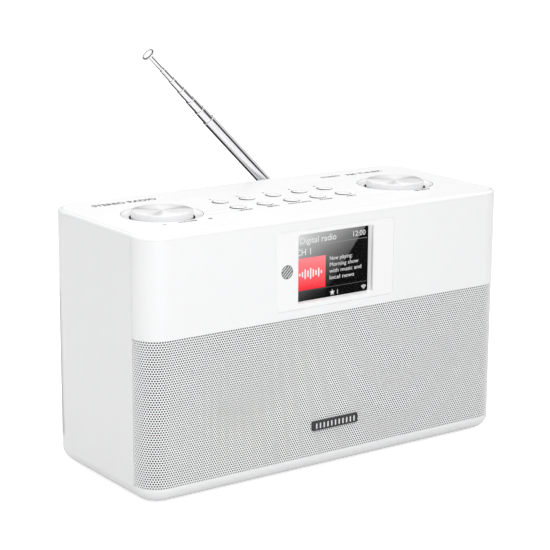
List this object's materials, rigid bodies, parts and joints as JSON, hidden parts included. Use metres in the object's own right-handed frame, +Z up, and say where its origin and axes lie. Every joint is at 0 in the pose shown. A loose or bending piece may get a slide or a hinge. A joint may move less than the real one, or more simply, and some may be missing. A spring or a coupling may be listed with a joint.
{
  "type": "tabletop radio",
  "caption": "White rounded tabletop radio with a front grille, a colour display, two push-and-turn knobs and round buttons on the lid, and a telescopic aerial at the back.",
  "frame": {"origin": "bottom centre of the whole object's box, on the surface that the feet stand on", "axes": "+X to the right as seen from the front, along the width; -Y towards the front; +Z up"},
  "size_m": [0.28, 0.1332, 0.2615],
  "materials": {
    "white_gloss": "glossy white lacquer",
    "white_satin": "satin moulded white",
    "grille_paint": "white powder coat on perforated steel",
    "brushed_white": "white sheet with fine straight brushing",
    "bezel_gloss": "high gloss white",
    "clear_glass": "clear and glossy",
    "screen": "black display panel",
    "sensor_grey": "grey translucent window",
    "spun_white": "pearl white with a spun top",
    "button_white": "glossy white",
    "badge_metal": "dark satin metal",
    "chrome": "polished",
    "steel": "satin",
    "ferrite": "matt dark grey",
    "black_plastic": "matt black",
    "cone_paper": "matt black paper",
    "rubber": "matt",
    "circuit_board": "green solder mask"
  },
  "bodies": {
    "radio_body": {"cabinet": "white_gloss", "front_fascia": "white_gloss", "rear_cover": "white_satin", "top_cover": "white_gloss", "speaker_grille": "grille_paint", "badge_plate": "badge_metal", "top_sheet": "brushed_white", "display_bezel": "bezel_gloss", "display_lens": "clear_glass", "display_module": "screen", "sensor_window": "sensor_grey", "volume_encoder": "black_plastic", "tuning_encoder": "black_plastic", "control_board": "circuit_board", "main_board": "circuit_board", "dc_jack": "black_plastic", "aux_jack": "black_plastic", "headphone_jack": "black_plastic", "aerial_socket": "white_satin", "foot_1": "rubber", "rear_screw_1": "steel", "foot_2": "rubber", "rear_screw_2": "steel", "foot_3": "rubber", "rear_screw_3": "steel", "foot_4": "rubber", "rear_screw_4": "steel", "speaker_basket_left": "black_plastic", "speaker_cone_left": "cone_paper", "speaker_magnet_left": "ferrite", "speaker_basket_right": "black_plastic", "speaker_cone_right": "cone_paper", "speaker_magnet_right": "ferrite"},
    "volume_rotor_body": {"volume_rotor": "black_plastic"},
    "volume_knob_body": {"volume_knob": "spun_white", "volume_shaft": "steel"},
    "tuning_rotor_body": {"tuning_rotor": "black_plastic"},
    "tuning_knob_body": {"tuning_knob": "spun_white", "tuning_shaft": "steel"},
    "preset_button_1": {"preset_button_1": "button_white"},
    "preset_button_2": {"preset_button_2": "button_white"},
    "preset_button_3": {"preset_button_3": "button_white"},
    "preset_button_4": {"preset_button_4": "button_white"},
    "preset_button_5": {"preset_button_5": "button_white"},
    "function_button_1": {"function_button_1": "button_white"},
    "function_button_2": {"function_button_2": "button_white"},
    "function_button_3": {"function_button_3": "button_white"},
    "function_button_4": {"function_button_4": "button_white"},
    "function_button_5": {"function_button_5": "button_white"},
    "aerial_knuckle": {"aerial_knuckle": "white_satin", "aerial_pin": "steel"},
    "aerial_tube_1": {"aerial_tube_1": "chrome"},
    "aerial_tube_2": {"aerial_tube_2": "chrome"},
    "aerial_tube_3": {"aerial_tube_3": "chrome"},
    "aerial_tube_4": {"aerial_tube_4": "chrome"},
    "aerial_tube_5": {"aerial_tube_5": "chrome"},
    "aerial_tube_6": {"aerial_tube_6": "chrome"},
    "aerial_rod": {"aerial_rod": "chrome", "aerial_tip": "chrome"}
  },
  "joints": [
    {"name": "volume_turn", "type": "hinge", "parent": "radio_body", "child": "volume_rotor_body", "pos_m": [-0.0927, -0.00755, 0.16], "axis": [0, 0, 1], "continuous": true},
    {"name": "volume_press", "type": "slide", "parent": "volume_rotor_body", "child": "volume_knob_body", "axis": [0, 0, -1], "range_m": [0, 0.0006], "stiffness_N_per_m": 2000, "springref_m": -0.0003},
    {"name": "tuning_turn", "type": "hinge", "parent": "radio_body", "child": "tuning_rotor_body", "pos_m": [0.0927, -0.00755, 0.16], "axis": [0, 0, 1], "continuous": true},
    {"name": "tuning_press", "type": "slide", "parent": "tuning_rotor_body", "child": "tuning_knob_body", "axis": [0, 0, -1], "range_m": [0, 0.0006], "stiffness_N_per_m": 2000, "springref_m": -0.0003},
    {"name": "preset_button_1_press", "type": "slide", "parent": "radio_body", "child": "preset_button_1", "axis": [0, 0, -1], "range_m": [0, 0.0007], "stiffness_N_per_m": 1000, "springref_m": -0.0003},
    {"name": "preset_button_2_press", "type": "slide", "parent": "radio_body", "child": "preset_button_2", "axis": [0, 0, -1], "range_m": [0, 0.0007], "stiffness_N_per_m": 1000, "springref_m": -0.0003},
    {"name": "preset_button_3_press", "type": "slide", "parent": "radio_body", "child": "preset_button_3", "axis": [0, 0, -1], "range_m": [0, 0.0007], "stiffness_N_per_m": 1000, "springref_m": -0.0003},
    {"name": "preset_button_4_press", "type": "slide", "parent": "radio_body", "child": "preset_button_4", "axis": [0, 0, -1], "range_m": [0, 0.0007], "stiffness_N_per_m": 1000, "springref_m": -0.0003},
    {"name": "preset_button_5_press", "type": "slide", "parent": "radio_body", "child": "preset_button_5", "axis": [0, 0, -1], "range_m": [0, 0.0007], "stiffness_N_per_m": 1000, "springref_m": -0.0003},
    {"name": "function_button_1_press", "type": "slide", "parent": "radio_body", "child": "function_button_1", "axis": [0, 0, -1], "range_m": [0, 0.0007], "stiffness_N_per_m": 1000, "springref_m": -0.0003},
    {"name": "function_button_2_press", "type": "slide", "parent": "radio_body", "child": "function_button_2", "axis": [0, 0, -1], "range_m": [0, 0.0007], "stiffness_N_per_m": 1000, "springref_m": -0.0003},
    {"name": "function_button_3_press", "type": "slide", "parent": "radio_body", "child": "function_button_3", "axis": [0, 0, -1], "range_m": [0, 0.0007], "stiffness_N_per_m": 1000, "springref_m": -0.0003},
    {"name": "function_button_4_press", "type": "slide", "parent": "radio_body", "child": "function_button_4", "axis": [0, 0, -1], "range_m": [0, 0.0007], "stiffness_N_per_m": 1000, "springref_m": -0.0003},
    {"name": "function_button_5_press", "type": "slide", "parent": "radio_body", "child": "function_button_5", "axis": [0, 0, -1], "range_m": [0, 0.0007], "stiffness_N_per_m": 1000, "springref_m": -0.0003},
    {"name": "aerial_swivel", "type": "hinge", "parent": "radio_body", "child": "aerial_knuckle", "pos_m": [0.0757, 0.06215, 0.123], "axis": [0, 1, 0], "range_deg": [-45, 135]},
    {"name": "aerial_elbow", "type": "hinge", "parent": "aerial_knuckle", "child": "aerial_tube_1", "pos_m": [0.0757, 0.06215, 0.123], "axis": [-0.7071, 0, -0.7071], "range_deg": [0, 90]},
    {"name": "aerial_slide_2", "type": "slide", "parent": "aerial_tube_1", "child": "aerial_tube_2", "axis": [-0.7071, 0, 0.7071], "range_m": [-0.0098, 0.09]},
    {"name": "aerial_slide_3", "type": "slide", "parent": "aerial_tube_2", "child": "aerial_tube_3", "axis": [-0.7071, 0, 0.7071], "range_m": [-0.0098, 0.09]},
    {"name": "aerial_slide_4", "type": "slide", "parent": "aerial_tube_3", "child": "aerial_tube_4", "axis": [-0.7071, 0, 0.7071], "range_m": [-0.0098, 0.09]},
    {"name": "aerial_slide_5", "type": "slide", "parent": "aerial_tube_4", "child": "aerial_tube_5", "axis": [-0.7071, 0, 0.7071], "range_m": [-0.0098, 0.09]},
    {"name": "aerial_slide_6", "type": "slide", "parent": "aerial_tube_5", "child": "aerial_tube_6", "axis": [-0.7071, 0, 0.7071], "range_m": [-0.0098, 0.09]},
    {"name": "aerial_slide_7", "type": "slide", "parent": "aerial_tube_6", "child": "aerial_rod", "axis": [-0.7071, 0, 0.7071], "range_m": [-0.0107, 0.088]}
  ]
}
